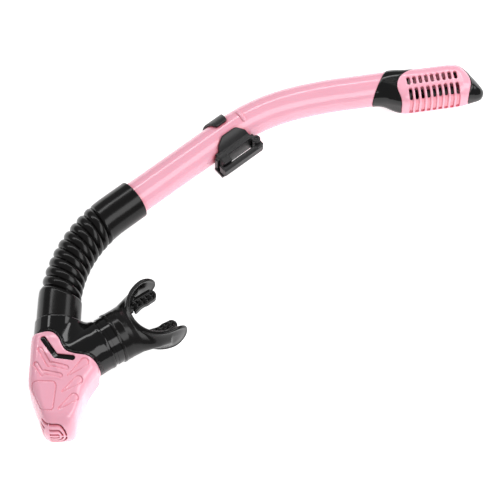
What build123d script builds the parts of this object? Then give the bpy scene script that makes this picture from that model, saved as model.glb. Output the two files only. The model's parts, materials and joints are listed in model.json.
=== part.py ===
"""A dry-top snorkel with a swivelling mouthpiece, a flexible hose and a purge chamber.

The plane of the snorkel's curve lies level. +X runs along the mouthpiece port, away from the
chamber, and +Z is square to the plane. The origin is under the middle of the object's box.
Sizes are in millimetres and angles in degrees.

Every sub-part is built in the frame of its own station on the airway. In a station's frame
X runs along the airway towards the top, Y is the side of the curve's back and Z is up.
"""
import os
from math import cos, degrees, radians, sin

from build123d import *

# ---- driving dimensions: the airway's line, from the chamber's centre to the top
leg_angle = 55.2            # from the mouthpiece port to the hose leg
leg_length = 38.7           # chamber centre to the hose's lower edge
hose_lower_straight = 15.3
hose_bend_r = 105.0
hose_bend_angle = 48.6
hose_upper_straight = 19.5
tube_straight = 110.0       # from the end of the hose's bend to the tube's main bend
main_bend_r = 141.0
main_bend_angle = 22.6
ease_bend_r = 290.0
ease_bend_angle = 7.8
joint_distance = 29.7       # last straight, up to the slanted joint with the dry top
joint_slant = 32.0

# ---- driving dimensions: general
wall = 1.8
seat_gap = 0.1              # between pieces of one body that nest
running_gap = 0.05          # radial, for pins that turn in holes
swivel_gap = 0.08           # radial, for the mouthpiece's swivel
slide_gap = 0.2             # radial, for the keeper on the tube

# ---- upper tube
tube_r = 12.7
tube_wall = 1.6
stop_rib_distance = 13.0    # along the main bend
stop_rib_sweep = 62.0       # degrees round the tube
stop_rib_r = 1.5
lock_window_distance = 31.0
lock_window_length = 5.2
lock_window_width = 3.2

# ---- chamber
leg_r = 17.3
leg_cover_depth = 2.1       # from the leg's outside to the core that the cover slides over
port_r = 19.2
port_cover_depth = 1.9
port_length = 41.5
port_wall = 1.4
port_bore_depth = 17.0
port_ledge = 1.5
core_length = 24.0          # chamber centre to the floor of the core
floor_thickness = 3.0
boss_width = 3.4
boss_sink = 0.5             # the chevron bosses stop this far under the leg's outside

# ---- hose
spigot_length = 15.0
spigot_step = 1.0           # the spigot's radius under the core's
spigot_wall = 1.6
lower_cuff_length = 30.0
lower_cuff_wall = 2.2
upper_cuff_length = 35.5
upper_cuff_wall = 2.4
cuff_bead_r = 1.5
hose_bore_step = 0.3        # the hose's bore over the tube's, in radius
hose_wall = 2.2
rib_count = 8
rib_r = 1.9

# ---- purge valve
valve_seat_step = 1.0       # the seat's radius under the leg bore's
valve_seat_thickness = 2.4
valve_ledge = 1.2
valve_rim = 2.0
valve_window_inner_r = 4.6
valve_spoke = 2.0
flap_thickness = 1.0
flap_margin = 0.7
flap_stem_r = 1.6
flap_bulb_rise = 0.7
stem_gap = 0.02

# ---- purge cover
prow_swell = 0.4            # the prow's sides stand this far outside the leg's
prow_corner_r = 11.0
prow_end = 52.0
prow_width = 72.0
prow_wall = 2.0
grille_slot = 1.7
grille_pitch = 4.1
grille_first_r = 1.2
grille_depth = 8.0          # how far the slots' legs run in from their round ends

# ---- mouthpiece and its swivel
swivel_spigot_length = 15.0
swivel_flange_step = 1.0    # the flange's radius under the port's
swivel_band_step = 0.6
swivel_end_gap = 0.3
flange_length = 2.6
band_length = 4.8
barb_length = 12.0
barb_step = 3.2             # the barb's radius under the neck's
barb_wall = 2.8
snap_bead = 0.45
snap_bead_length = 1.8
snap_bead_distance = 2.0    # from the spigot's end
o_ring_r = 0.75
o_ring_gap = 0.05
o_ring_set_back = 3.0       # from the swivel's flange to the O-ring's middle
neck_straight = 8.5
throat_distance = 20.0      # from the neck's start to its flat end
throat_wall_y = 6.0
throat_wall_z = 4.0
shield_start = 16.4         # from the neck's start to the shield's middle
shield_r = 24.6             # outside, seen along Z
shield_wall = 2.8
shield_half_height = 13.4
shield_reach = 50.5         # from the mouthpiece's edge to the wing tips
bite_bore_y = 12.0
bite_bore_z = 7.0
lug_start = 24.0
lug_end = 45.5
lug_inner_y = 9.0
lug_outer_y = 18.6
lug_half_height = 3.0
lug_hole_r = 0.9
lug_hole_count = 5

# ---- dry top: spine, belly and half height are measured from the tube's line
top_spine = 9.4
top_belly = 21.4
top_swell = 1.3             # the dry top's half height over the tube's radius
top_corner_r = 10.0
top_body_start = 41.0
top_body_end = 84.0
top_tip = 108.2
spigot_depth = 16.0
cover_spine_strip = 3.6
slot_count = 9
slot_pitch = 4.55
slot_width = 2.3
slot_start = 9.8            # from the body's start
upper_slot_low = -7.5
upper_slot_high = -0.9
lower_slot_high = -10.8
keel_half_width = 3.0

# ---- dry top's valve
valve_plate_distance = 3.5  # from the body's start
valve_plate_thickness = 5.0
air_port_length = 18.0
air_port_width = 11.0
air_port_y = 0.8
seat_lip = 1.3
seat_height = 0.4
seal_margin = 0.9
seal_thickness = 2.2
valve_lift = 12.0           # degrees that the valve stands open at rest
pivot_y = -8.2
pivot_rise = 2.9            # above the valve plate
knuckle_r = 2.2
knuckle_half_length = 6.8
pivot_pin_r = 1.1
ear_thickness = 2.0
float_length = 26.0
float_start = 12.0          # from the valve plate's top
float_thickness = 7.6
float_half_width = 9.0
float_wall = 1.2
float_gap = 0.4             # from the housing's inside

# ---- keeper
keeper_centre = 99.0        # along the straight tube
ring_length = 22.0
ring_wall = 2.2
ring_gap_front = 16.5       # degrees from the top, towards the frame
ring_gap_back = 25.0
frame_start = 85.5
frame_end = 123.0
frame_half_height = 7.4
bar_thickness = 3.4
bar_relief = 1.2            # the base bar's inner face stands this far off the tube
strap_gap = 5.0
gate_thickness = 3.8
gate_half_height = 4.3
gate_gap = 0.3
post_start = 88.0
post_length = 5.5
hinge_station = 121.0
hinge_drop = 3.0            # from the base bar's outer face to the gate's pin
hinge_boss_r = 3.3
hinge_pin_r = 1.1
latch_lip = 2.1
latch_hook = 2.6

# ---- derived values
tube_bore_r = tube_r - tube_wall
leg_core_r = leg_r - leg_cover_depth
spigot_r = leg_core_r - spigot_step
leg_bore_r = spigot_r - spigot_wall
lower_cuff_r = spigot_r + lower_cuff_wall
upper_cuff_r = tube_r + upper_cuff_wall
hose_bore_r = tube_bore_r + hose_bore_step
hose_root_r = hose_bore_r + hose_wall
port_core_r = port_r - port_cover_depth
port_bore_r = port_core_r - port_wall
port_throat_r = port_bore_r - port_ledge
valve_seat_r = leg_bore_r - valve_seat_step
prow_side = leg_r + prow_swell
collar_start = port_length + swivel_end_gap
neck_start = collar_start + flange_length + band_length
neck_r = port_r
barb_r = neck_r - barb_step
swivel_bore_r = barb_r - barb_wall
top_half_height = tube_r + top_swell
valve_plate_start = top_body_start + valve_plate_distance
bar_outer = tube_r + slide_gap + bar_relief + bar_thickness
strap_outer = bar_outer + strap_gap
hinge_offset = bar_outer + hinge_drop


def bar_x(length, radius, start=0.0):
    """A round bar along X from start."""
    return Pos(start + length / 2, 0, 0) * Rot(0, 90, 0) * Cylinder(radius, length)


def pipe_x(length, outer, inner, start=0.0):
    """A round pipe along X from start."""
    return bar_x(length, outer, start) - bar_x(length + 2, inner, start - 1)


def bar_z(radius, low, high, x=0.0, y=0.0):
    """A round bar along Z between two heights."""
    return Pos(x, y, (low + high) / 2) * Cylinder(radius, high - low)


def block(x, y, z):
    """A block between pairs of limits."""
    centre = [(a + b) / 2 for a, b in (x, y, z)]
    return Pos(*centre) * Box(x[1] - x[0], y[1] - y[0], z[1] - z[0])


def bend(turn_r, angle, radius):
    """A round bar along X that turns towards -Y."""
    return revolve(Plane.YZ * Circle(radius), Axis((0, -turn_r, 0), (0, 0, -1)), angle)


def along(station, length):
    """The station further along a straight."""
    return station * Pos(length, 0, 0)


def round_bend(station, turn_r, angle):
    """The station after a bend towards -Y."""
    return station * Pos(0, -turn_r, 0) * Rot(0, 0, -angle) * Pos(0, turn_r, 0)


def polygon(*points):
    """A flat face with corners at the given points."""
    return make_face(Polyline(*points, close=True))


# ---- stations on the airway
leg = Rot(0, 0, leg_angle)
hose_start = along(leg, leg_length)
hose_turn = along(hose_start, hose_lower_straight)
tube_start = round_bend(hose_turn, hose_bend_r, hose_bend_angle)
main_turn = along(tube_start, tube_straight)
ease_turn = round_bend(main_turn, main_bend_r, main_bend_angle)
top = round_bend(ease_turn, ease_bend_r, ease_bend_angle)


# ------------------------------------------------------------------ upper tube
def slanted_cut(offset=0.0):
    """Everything past the slanted joint between the tube and the dry top."""
    slab = block((0, 200), (-80, 80), (-80, 80))
    return Pos(joint_distance + offset, 0, 0) * Rot(0, 0, -joint_slant) * slab


def lock_tab(grow=0.0):
    """The oval tab on the dry top's spigot that stands in the tube's window."""
    oval = SlotOverall(lock_window_length + 2 * grow, lock_window_width + 2 * grow)
    place = Pos(lock_window_distance, tube_bore_r - 1, 0) * Rot(-90, 0, 0)
    return place * extrude(oval, tube_wall + 1)


def stop_rib():
    """The raised rib across the tube that stops the keeper."""
    station = round_bend(main_turn, main_bend_r, degrees(stop_rib_distance / main_bend_r))
    crown = tube_r - 0.2
    half = stop_rib_sweep / 2
    arc = revolve(Plane.XY * Pos(0, crown) * Circle(stop_rib_r), Axis.X, stop_rib_sweep)
    ends = [Rot(a, 0, 0) * Pos(0, crown, 0) * Sphere(stop_rib_r) for a in (0, stop_rib_sweep)]
    return station * Rot(90 - half, 0, 0) * (arc + ends[0] + ends[1])


def upper_tube():
    """The rigid tube: straight, main bend, easing bend and slanted end."""
    first = tube_start * bar_x(tube_straight - 0.5, tube_r, 0.5)
    second = main_turn * bend(main_bend_r, main_bend_angle, tube_r)
    third = ease_turn * bend(ease_bend_r, ease_bend_angle, tube_r)
    last = top * (bar_x(joint_distance + 20, tube_r) - slanted_cut())
    bores = tube_start * bar_x(tube_straight, tube_bore_r)
    bores += main_turn * bend(main_bend_r, main_bend_angle, tube_bore_r)
    bores += ease_turn * bend(ease_bend_r, ease_bend_angle, tube_bore_r)
    bores += top * bar_x(joint_distance + 30, tube_bore_r)
    return first + second + third + last + stop_rib() - bores - top * lock_tab(seat_gap)


# ------------------------------------------------------------------ flexible hose
def flex_hose():
    """The ribbed hose with a smooth cuff at each end."""
    lower_arc = degrees((lower_cuff_length - hose_lower_straight) / hose_bend_r)
    upper_arc = degrees((upper_cuff_length - hose_upper_straight) / hose_bend_r)
    rib_arc = hose_bend_angle - lower_arc - upper_arc
    ribs_start = round_bend(hose_turn, hose_bend_r, lower_arc)
    ribs_end = round_bend(ribs_start, hose_bend_r, rib_arc)
    hose = hose_start * bar_x(hose_lower_straight, lower_cuff_r)
    hose += hose_turn * bend(hose_bend_r, lower_arc, lower_cuff_r)
    hose += ribs_start * bend(hose_bend_r, rib_arc, hose_root_r)
    hose += ribs_end * bend(hose_bend_r, upper_arc, upper_cuff_r)
    hose += tube_start * bar_x(hose_upper_straight, upper_cuff_r)
    bead = Rot(0, 90, 0) * Torus(upper_cuff_r - 0.9, cuff_bead_r)
    hose += along(tube_start, hose_upper_straight - cuff_bead_r) * bead
    pitch = rib_arc / rib_count
    for number in range(rib_count):
        station = round_bend(ribs_start, hose_bend_r, (number + 0.5) * pitch)
        hose += station * Rot(0, 90, 0) * Torus(hose_root_r, rib_r)
    bore = hose_start * bar_x(spigot_length + 1, spigot_r + seat_gap, -1)
    bore += hose_turn * bend(hose_bend_r, hose_bend_angle, hose_bore_r)
    bore += tube_start * bar_x(hose_upper_straight + 1, tube_r + seat_gap)
    return hose - bore


# ------------------------------------------------------------------ chamber and purge cover
def chamber_form():
    """The outside of the Y: the hose leg and the mouthpiece port."""
    heel = core_length / 2
    return leg * bar_x(leg_length + heel, leg_r, -heel) + bar_x(port_length, port_r)


def prow_outline(inset=0.0):
    """The purge cover's outline in the leg's frame, with its lip at the port's underside."""
    beyond = leg_r + 4
    face = polygon((24, beyond), (-17 + 2 * 4, beyond), (-46, 2.8), (-prow_end, -4),
                   (-prow_end + 1, -17.5), (-46, -21), (-31, -21.6), (-16, -25.4), (-5, -32),
                   (1, -34.5), (14, -26), (24, -6))
    return offset(face, -inset) if inset else face


def prow_form(inset=0.0):
    """The purge cover's lower form: the outline, rounded along the leg."""
    plan = extrude(prow_outline(inset), 40, both=True)
    width = prow_width - 2 * inset
    section = RectangleRounded(width, 2 * (prow_side - inset), prow_corner_r - inset)
    rounding = Pos(-60, prow_side - prow_width / 2, 0) * extrude(Plane.YZ * section, 110)
    return plan & rounding


def cover_region(shrink=0.0):
    """The part of the outside that the purge cover takes, in the leg's frame."""
    face = polygon((21, 25), (23.5, 12), (24.5, 5), (20, -2), (12, -6), (7, -12.5), (6, -26),
                   (0, -34.1), (-8, -42), (-70, -42), (-70, 30), (18, 30))
    if shrink:
        face = offset(face, -shrink)
    return extrude(face, 60, both=True)


def chamber_core(grow=0.0):
    """The stepped-down core of the chamber that the purge cover slides over."""
    core = leg * bar_x(core_length + leg_length - 4, leg_core_r + grow, -core_length - grow)
    return core + bar_x(port_length - 3, port_core_r + grow)


def chevron(height, grow=0.0):
    """A V-shaped prism on the cover's upper and lower faces, in the leg's frame."""
    width = boss_width + 2 * grow
    arm_a = Pos(11, 3.4, 0) * Rot(0, 0, 35) * SlotOverall(17 + 2 * grow, width)
    arm_b = Pos(3.6, -7.5, 0) * Rot(0, 0, 86) * SlotOverall(15.5 + 2 * grow, width)
    low = leg_core_r - 3
    solid = extrude(arm_a + arm_b, height - low)
    return Pos(0, 0, low) * solid + Pos(0, 0, -height) * solid


def lower_chamber():
    """The black Y-shaped chamber, with the spigot for the hose and the chevron bosses."""
    shell = chamber_form() - leg * cover_region()
    shell += chamber_core()
    shell += leg * bar_x(leg_length + spigot_length, spigot_r)
    shell += leg * (chevron(leg_r - 0.6) & bar_x(60, leg_r - boss_sink, -10))
    leg_bore = bar_x(leg_length + spigot_length + core_length, leg_bore_r, -core_length + floor_thickness)
    valve_bore = bar_x(floor_thickness + 2, valve_seat_r - valve_ledge, -core_length - 1)
    valve_bore += bar_x(valve_seat_thickness + 1, valve_seat_r + seat_gap, -core_length - 1)
    port_bore = bar_x(port_length, port_throat_r)
    port_bore += bar_x(port_bore_depth, port_bore_r, port_length - port_bore_depth)
    groove_start = port_length - swivel_spigot_length + 2
    port_bore += bar_x(snap_bead_length + 0.6, port_bore_r + snap_bead + seat_gap, groove_start)
    return shell - leg * leg_bore - leg * valve_bore - port_bore


def grille_slots(face_turn, x, y):
    """Nested D-shaped slots through one face of the prow; X' points out of the face."""
    slots = None
    for number in range(3):
        outer = grille_first_r + (number + 1) * grille_pitch
        inner = outer - grille_slot
        depth = grille_depth
        ring = Circle(outer) + Pos(-depth / 2, 0) * Rectangle(depth, 2 * outer)
        ring -= Circle(inner) + Pos(-depth / 2 - 1, 0) * Rectangle(depth + 2, 2 * inner)
        ring -= Pos(outer, 0) * Rectangle(3 * grille_slot, 1.8)
        solid = extrude(Plane.YZ * ring, 9, both=True)
        slots = solid if slots is None else slots + solid
    return Pos(x, y, 0) * Rot(0, 0, face_turn) * slots


def purge_cover():
    """The clip-on cover: a shell round the chamber's foot with its grille at the prow."""
    form = chamber_form() + leg * prow_form()
    cover = (form & leg * cover_region(seat_gap)) - chamber_core(seat_gap)
    cover -= leg * prow_form(prow_wall)
    cover -= leg * chevron(leg_r + 4, seat_gap)
    cover -= leg * grille_slots(180, -prow_end, -9.5)
    return cover - leg * grille_slots(180 - 63, -31, 11)


def purge_valve_seat():
    """The spider disc that carries the purge flap."""
    disc = bar_x(valve_seat_thickness, valve_seat_r, -core_length)
    ring = pipe_x(6, valve_seat_r - valve_rim, valve_window_inner_r, -core_length - 1)
    half = valve_spoke / 2
    spokes = block((-40, 0), (-half, half), (-20, 20)) + block((-40, 0), (-20, 20), (-half, half))
    hole = bar_x(10, flap_stem_r + stem_gap, -core_length - 2)
    return leg * (disc - (ring - spokes) - hole)


def purge_valve():
    """The silicone mushroom flap, with its stem through the seat's hub."""
    flap_r = valve_seat_r - flap_margin
    flap = bar_x(flap_thickness, flap_r, -core_length - flap_thickness - 0.05)
    stem = bar_x(valve_seat_thickness + 1.2, flap_stem_r, -core_length - 0.1)
    bulb = bar_x(1.4, flap_stem_r + flap_bulb_rise, -core_length + valve_seat_thickness + 0.05)
    return leg * (flap + stem + bulb)


# ------------------------------------------------------------------ mouthpiece
def swivel_connector():
    """The ring that turns in the chamber's port and carries the mouthpiece."""
    start = collar_start - swivel_spigot_length
    body = bar_x(swivel_spigot_length + 0.2, port_bore_r - swivel_gap, start)
    bead_start = start + snap_bead_distance
    body += bar_x(snap_bead_length, port_bore_r + snap_bead - swivel_gap, bead_start)
    body += bar_x(flange_length, port_r - swivel_flange_step, collar_start)
    body += bar_x(band_length, port_r - swivel_band_step, collar_start + flange_length)
    body += bar_x(barb_length, barb_r, neck_start - 0.1)
    groove_r = port_bore_r - 2 * (o_ring_r + o_ring_gap)
    groove_width = 2 * (o_ring_r + o_ring_gap)
    groove_start = collar_start - o_ring_set_back - groove_width / 2
    body -= pipe_x(groove_width, port_bore_r + 2, groove_r, groove_start)
    return body - bar_x(60, swivel_bore_r, start - 5)


def swivel_seal():
    """The O-ring between the swivel and the port."""
    ring = Rot(0, 90, 0) * Torus(port_bore_r - o_ring_r - o_ring_gap, o_ring_r)
    return Pos(collar_start - o_ring_set_back, 0, 0) * ring


def shield_solid(inset):
    """The lip shield's U-shaped form, seen along Z, shrunk by inset."""
    middle = neck_start + shield_start + shield_r
    round_part = Pos(middle, 0) * Circle(shield_r - inset)
    wings = Pos(middle + 30, 0) * Rectangle(60, 2 * (shield_r - inset))
    return extrude(round_part + wings, 40, both=True)


def mouthpiece():
    """The silicone mouthpiece: neck, curved lip shield and two bite lugs."""
    neck = bar_x(neck_straight, neck_r, neck_start + 0.1)
    throat_end = neck_start + throat_distance
    wide = Plane.YZ.offset(neck_start + neck_straight) * Circle(neck_r)
    oval = Plane.YZ.offset(throat_end) * Ellipse(bite_bore_y + throat_wall_y,
                                                 bite_bore_z + throat_wall_z)
    neck += loft([wide, oval])
    hollow = loft([Plane.YZ.offset(neck_start + barb_length + 0.2) * Circle(barb_r),
                   Plane.YZ.offset(throat_end + 4) * Ellipse(bite_bore_y, bite_bore_z)])
    hollow += bar_x(barb_length + 0.4, barb_r + 0.03, neck_start)
    reach = neck_start + shield_reach
    side = Pos(reach - 40, 0) * Rectangle(80, 2 * shield_half_height)
    side -= Pos(reach, 0) * Rectangle(2 * shield_half_height, 2 * shield_half_height)
    side += Pos(reach - shield_half_height, 0) * Circle(shield_half_height)
    side_prism = extrude(Plane.XZ * side, 60, both=True)
    shield = (shield_solid(0) - shield_solid(shield_wall)) & side_prism
    body = neck + shield - hollow
    for side_sign in (1, -1):
        low, high = sorted((side_sign * lug_inner_y, side_sign * lug_outer_y))
        lug = block((neck_start + lug_start - 6, neck_start + lug_end), (low, high),
                    (-lug_half_height, lug_half_height)) & shield_solid(shield_wall / 2)
        pitch = (lug_end - lug_start - 4) / (lug_hole_count - 1)
        for number in range(lug_hole_count):
            x = neck_start + lug_start + 1.5 + number * pitch
            for y in (low + 2.6, high - 2.6):
                for level in (lug_half_height, -lug_half_height):
                    lug -= bar_z(lug_hole_r, level - 1.2, level + 1.2, x, y)
        body += lug
    return body - (hollow & bar_x(24, 40, neck_start))


# ------------------------------------------------------------------ dry top
def top_outline():
    """The dry top's outline from the side: spine, nose and belly."""
    start = (top_body_start, top_spine)
    shoulder = (top_body_end, top_spine)
    nose = (top_tip, -13)
    chin = (top_tip - 5, -top_belly)
    edges = [Line(start, shoulder),
             ThreePointArc(shoulder, (top_tip - 9.5, 1.8), nose),
             ThreePointArc(nose, (top_tip - 0.4, -18.5), chin),
             Line(chin, (top_body_start, -top_belly)),
             Line((top_body_start, -top_belly), start)]
    return make_face(Wire(edges))


def top_section(inset):
    """The dry top's section, square to the tube."""
    width = top_spine + top_belly - 2 * inset
    section = RectangleRounded(width, 2 * (top_half_height - inset), top_corner_r - inset)
    return Pos((top_spine - top_belly) / 2, 0) * section


def top_form(inset=0.0):
    """The dry top's outside, or its inside when inset by the wall."""
    outline = top_outline()
    if inset:
        outline = offset(outline, -inset)
    plan = extrude(outline, 40, both=True)
    body = plan & extrude(Plane.YZ * top_section(inset), 200)
    joint_r = tube_r + 0.2 - inset
    start = joint_distance - 6
    root = loft([Plane.YZ.offset(start) * Circle(joint_r),
                 Plane.YZ.offset(top_body_start + inset) * top_section(inset)])
    return body + root + bar_x(start - 10, joint_r, 10)


def grille_region(shrink=0.0):
    """The part of the dry top's wall that the grille takes."""
    front = [(21, 14), (11.4, 5.5), (5, 1), (0, -9), (1, -18), (2.5, -30)]
    rear = [(7.5, -30), (14.6, -15.4), (14.8, -5), (7, 6.4), (0, 14)]
    face = polygon(*[(top_body_start + x, y) for x, y in front],
                   *[(top_body_end + x, y) for x, y in rear])
    if shrink:
        face = offset(face, -shrink)
    strip = cover_spine_strip + shrink
    return extrude(face, 60, both=True) - block((40, 110), (6, 20), (-strip, strip))


def dry_top_housing():
    """The black housing: spigot in the tube, base, spine and nose."""
    outside = top_form() & slanted_cut(seat_gap)
    spigot = bar_x(joint_distance + 14 - spigot_depth, tube_bore_r - seat_gap, spigot_depth)
    groove = pipe_x(2.2, 20, tube_bore_r - 1.4, spigot_depth + 1.4)
    shell = outside + (spigot - groove) + lock_tab() - top_form(wall)
    shell -= bar_x(joint_distance + 20, tube_bore_r - wall)
    return top * (shell - grille_region())


def top_seal():
    """The O-ring on the dry top's spigot."""
    ring = Rot(0, 90, 0) * Torus(tube_bore_r - 0.72, 0.62)
    return top * Pos(spigot_depth + 2.5, 0, 0) * ring


def dry_top_grille():
    """The saddle-shaped grille cover with its two rows of slots."""
    cover = (top_form() - top_form(wall)) & grille_region(seat_gap)
    side = top_half_height + 2
    for number in range(slot_count):
        x = top_body_start + slot_start + number * slot_pitch
        limits = (x - slot_width / 2, x + slot_width / 2)
        cover -= block(limits, (upper_slot_low, upper_slot_high), (-side, side))
        lower = block(limits, (-top_belly - 2, lower_slot_high), (-side, side))
        cover -= lower - block((40, 110), (-40, 0), (-keel_half_width, keel_half_width))
    return top * cover


def valve_face():
    """Where the dry top's valve plate ends, along the tube's line."""
    return valve_plate_start + valve_plate_thickness


def pivot():
    """The valve's pivot, on its axis."""
    return Pos(valve_face() + pivot_rise, pivot_y, 0)


def air_port(grow=0.0):
    """The oval air port's shape, centred on its own middle."""
    return SlotOverall(air_port_length + 2 * grow, air_port_width + 2 * grow, rotation=90)


def oval_plate(start, thickness, grow):
    """An oval plate over the air port."""
    face = Plane.YZ.offset(start) * Pos(air_port_y, 0) * air_port(grow)
    return extrude(face, thickness)


def valve_plate():
    """The plate across the housing, with the air port and the hinge ears."""
    section = Plane.YZ.offset(valve_plate_start) * top_section(wall + seat_gap)
    plate = extrude(section, valve_plate_thickness)
    plate -= oval_plate(valve_plate_start - 1, valve_plate_thickness + 2, 0)
    plate -= oval_plate(valve_face() - 1, 2, seat_lip)
    inner = knuckle_half_length + 0.2
    for side in (1, -1):
        low, high = sorted((side * inner, side * (inner + ear_thickness)))
        ear = bar_z(knuckle_r + 0.2, low, high)
        ear += block((-pivot_rise - 0.5, 0), (-knuckle_r - 0.2, knuckle_r + 0.2), (low, high))
        plate += pivot() * ear
    return top * (plate - pivot() * bar_z(pivot_pin_r + 0.02, -20, 20))


def valve_seat():
    """The soft oval ring round the air port."""
    ring = oval_plate(valve_face() - 1 + 0.02, 1 + seat_height, seat_lip - 0.05)
    return top * (ring - oval_plate(valve_face() - 3, 8, 0))


def opened(piece):
    """A rocker piece, drawn closed, turned to where it rests."""
    return top * pivot() * Rot(0, 0, -valve_lift) * pivot().inverse() * piece


def seal_start():
    """The closed seal's face: just clear of the seat."""
    return valve_face() + seat_height + 0.15


def float_low():
    """The float's lowest face at rest."""
    return -top_belly + wall + float_gap


def seal_pad():
    """The soft oval pad that closes the air port."""
    return opened(oval_plate(seal_start(), seal_thickness, seal_margin))


def float_arm():
    """The rocker: knuckle on the pin, plate behind the seal and foot for the float."""
    back = seal_start() + seal_thickness
    bore = pivot() * bar_z(pivot_pin_r + running_gap, -30, 30)
    knuckle = pivot() * bar_z(knuckle_r, -knuckle_half_length, knuckle_half_length)
    plate = block((back, back + 1.8), (pivot_y, air_port_y + 5), (-5, 5))
    rocker = opened(knuckle + plate - bore)
    foot = block((valve_face() + pivot_rise, valve_face() + float_start),
                 (float_low() + 1.5, pivot_y), (-5, 5))
    return rocker + top * (foot - bore)


def float_blank(inset=0.0):
    """The float's form: flat above, and rounded below like the housing that it lies in."""
    start = valve_face() + float_start
    low = float_low()
    side = float_half_width - inset
    blank = block((start + inset, start + float_length - inset),
                  (low + inset, low + float_thickness - inset), (-side, side))
    return blank & extrude(Plane.YZ * top_section(wall + float_gap + inset), 200)


def float_body():
    """The sealed hollow float, which lies along the belly at rest."""
    return top * (float_blank() - float_blank(float_wall))


def float_hinge_pin():
    """The pin through the valve plate's ears."""
    half = knuckle_half_length + 0.2 + ear_thickness
    return top * pivot() * bar_z(pivot_pin_r, -half, half)


# ------------------------------------------------------------------ keeper
def ring_sector():
    """The gap at the top of the keeper's ring, in the straight tube's frame."""
    reach = 30
    front = radians(ring_gap_front)
    back = radians(ring_gap_back)
    points = [(0, 0), (-reach * sin(front), reach * cos(front)), (0, reach * 1.2),
              (reach * sin(back), reach * cos(back))]
    return extrude(Plane.YZ * polygon(*points), 200)


def keeper_clamp():
    """The clamp: a split ring on the tube, with the strap frame's bar, post and ears."""
    start = keeper_centre - ring_length / 2
    inner = tube_r + slide_gap
    clamp = pipe_x(ring_length, inner + ring_wall, inner, start) - ring_sector()
    saddle = block((start, start + ring_length), (-bar_outer, -tube_r + 1.5),
                   (-frame_half_height, frame_half_height))
    bar = block((frame_start, frame_end - 4), (-bar_outer, -inner - bar_relief),
                (-frame_half_height, frame_half_height))
    post = block((post_start, post_start + post_length), (-strap_outer, -bar_outer + 1),
                 (-frame_half_height, frame_half_height))
    clamp += saddle + bar + post
    hinge = Pos(hinge_station, -hinge_offset, 0)
    low = gate_half_height + 0.2
    for side in (1, -1):
        limits = sorted((side * low, side * frame_half_height))
        ear = bar_z(hinge_boss_r, *limits)
        ear += block((-hinge_boss_r, 0), (0, hinge_offset - bar_outer + 1), limits)
        clamp += hinge * ear
    clamp -= hinge * bar_z(hinge_pin_r + 0.02, -20, 20)
    return tube_start * (clamp - bar_x(200, inner))


def keeper_gate():
    """The gate: a bar that closes the strap slot, hinged at one end and hooked at the other."""
    face = strap_outer + gate_gap
    height = (-gate_half_height, gate_half_height)
    lip_end = post_start - 0.4
    lip_start = lip_end - latch_lip
    bar = block((lip_start, hinge_station), (-face - gate_thickness, -face), height)
    lip = block((lip_start, lip_end), (-face - 1, -face + latch_hook), height)
    knuckle = bar_z(hinge_boss_r - 0.2, -gate_half_height, gate_half_height,
                    hinge_station, -hinge_offset)
    web = block((hinge_station - hinge_boss_r + 0.2, hinge_station + hinge_boss_r - 0.2),
                (-face - gate_thickness, -hinge_offset), height)
    hole = bar_z(hinge_pin_r + running_gap, -20, 20, hinge_station, -hinge_offset)
    return tube_start * (bar + lip + knuckle + web - hole)


def keeper_hinge_pin():
    """The pin that the gate turns on."""
    return tube_start * bar_z(hinge_pin_r, -frame_half_height + 0.4, frame_half_height - 0.4,
                              hinge_station, -hinge_offset)


# ------------------------------------------------------------------ assembly
pieces = {
    "upper_tube": upper_tube(),
    "flex_hose": flex_hose(),
    "dry_top_housing": dry_top_housing(),
    "dry_top_grille": dry_top_grille(),
    "top_seal": top_seal(),
    "valve_plate": valve_plate(),
    "valve_seat": valve_seat(),
    "float_hinge_pin": float_hinge_pin(),
    "float_arm": float_arm(),
    "float_body": float_body(),
    "seal_pad": seal_pad(),
    "keeper_clamp": keeper_clamp(),
    "keeper_hinge_pin": keeper_hinge_pin(),
    "keeper_gate": keeper_gate(),
    "lower_chamber": lower_chamber(),
    "purge_cover": purge_cover(),
    "purge_valve_seat": purge_valve_seat(),
    "purge_valve": purge_valve(),
    "swivel_connector": swivel_connector(),
    "swivel_seal": swivel_seal(),
    "mouthpiece": mouthpiece(),
}
box = Compound(children=[Compound(piece.solids()) for piece in pieces.values()]).bounding_box()
to_origin = Pos(-(box.min.X + box.max.X) / 2, -(box.min.Y + box.max.Y) / 2, -box.min.Z)

os.makedirs("parts", exist_ok=True)
for name, piece in pieces.items():
    placed = to_origin * piece
    export_step(Compound(placed.solids()), f"parts/{name}.step")
    print(name, len(placed.solids()), "solids", round(placed.volume, 1), "mm3")
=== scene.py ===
"""A dry-top snorkel with a swivelling mouthpiece, laid on a pale studio floor.

Forms are worked out in millimetres in the frame of a station on the airway: X runs along the
airway towards the top, Y is the side of the curve's back and Z is up. Objects are in metres.
"""

import json
import math

import bpy
import numpy as np
from bpy.props import FloatProperty, FloatVectorProperty, IntProperty, PointerProperty
from mathutils import Matrix, Vector


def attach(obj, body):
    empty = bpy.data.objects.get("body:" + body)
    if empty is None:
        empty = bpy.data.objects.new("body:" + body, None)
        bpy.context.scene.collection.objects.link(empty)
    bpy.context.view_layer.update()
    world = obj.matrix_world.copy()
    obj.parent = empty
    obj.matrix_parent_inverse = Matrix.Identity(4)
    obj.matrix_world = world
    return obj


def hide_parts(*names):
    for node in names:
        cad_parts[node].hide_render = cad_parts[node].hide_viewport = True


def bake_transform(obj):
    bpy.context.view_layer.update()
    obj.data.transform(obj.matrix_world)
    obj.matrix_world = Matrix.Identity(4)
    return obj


bl_info = {
    "name": "Dry-Top Snorkel",
    "version": (1, 0, 0),
    "blender": (4, 5, 0),
    "location": "3D View > Sidebar > Snorkel",
    "description": "Builds the visible pieces of a dry-top snorkel round its packed model",
    "category": "Add Mesh",
}

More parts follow.
